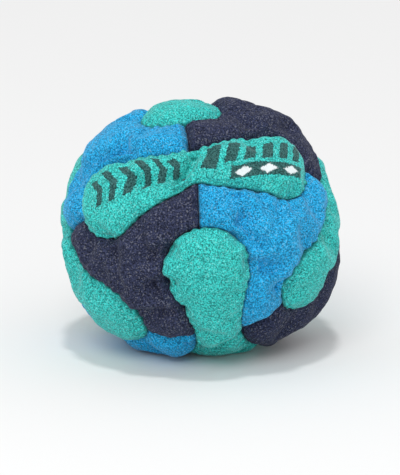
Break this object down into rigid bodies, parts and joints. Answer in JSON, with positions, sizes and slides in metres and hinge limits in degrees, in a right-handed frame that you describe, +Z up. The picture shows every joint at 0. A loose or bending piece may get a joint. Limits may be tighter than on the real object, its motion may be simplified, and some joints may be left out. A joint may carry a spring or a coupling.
{
  "type": "juggling ball",
  "caption": "Soft sand-filled footbag used as a juggling ball: bone-shaped and three-armed suede panels sewn into a slightly flattened ball with a resting patch.",
  "frame": {"origin": "centre of the flat patch that the ball rests on", "axes": "+Z up; -Y is the front, where the printed bone panel and the lower front bone panel face; +X to the right seen from the front"},
  "size_m": [0.056, 0.056, 0.0496],
  "materials": {
    "teal_suede": "brushed suede nap, matt",
    "blue_suede": "brushed suede nap, matt",
    "navy_suede": "brushed suede nap, matt",
    "thread": "waxed polyester thread",
    "sand": "loose dry sand"
  },
  "bodies": {
    "root": {"upper_front_bone_panel": "teal_suede", "lower_front_bone_panel": "teal_suede", "right_bone_panel": "teal_suede", "left_bone_panel": "teal_suede", "upper_back_bone_panel": "teal_suede", "lower_back_bone_panel": "teal_suede", "front_right_corner_panel": "blue_suede", "front_left_corner_panel": "navy_suede", "top_right_corner_panel": "navy_suede", "top_left_corner_panel": "blue_suede", "bottom_right_corner_panel": "navy_suede", "bottom_left_corner_panel": "blue_suede", "back_right_corner_panel": "blue_suede", "back_left_corner_panel": "navy_suede", "upper_front_bone_thread": "thread", "lower_front_bone_thread": "thread", "right_bone_thread": "thread", "left_bone_thread": "thread", "upper_back_bone_thread": "thread", "lower_back_bone_thread": "thread", "upper_front_to_right_thread": "thread", "upper_front_to_left_thread": "thread", "lower_front_to_upper_front_thread": "thread", "lower_front_to_lower_back_thread": "thread", "right_to_lower_front_thread": "thread", "right_to_upper_back_thread": "thread", "left_to_lower_front_thread": "thread", "left_to_upper_back_thread": "thread", "upper_back_to_upper_front_thread": "thread", "upper_back_to_lower_back_thread": "thread", "lower_back_to_right_thread": "thread", "lower_back_to_left_thread": "thread", "sand_fill": "sand"}
  },
  "joints": []
}
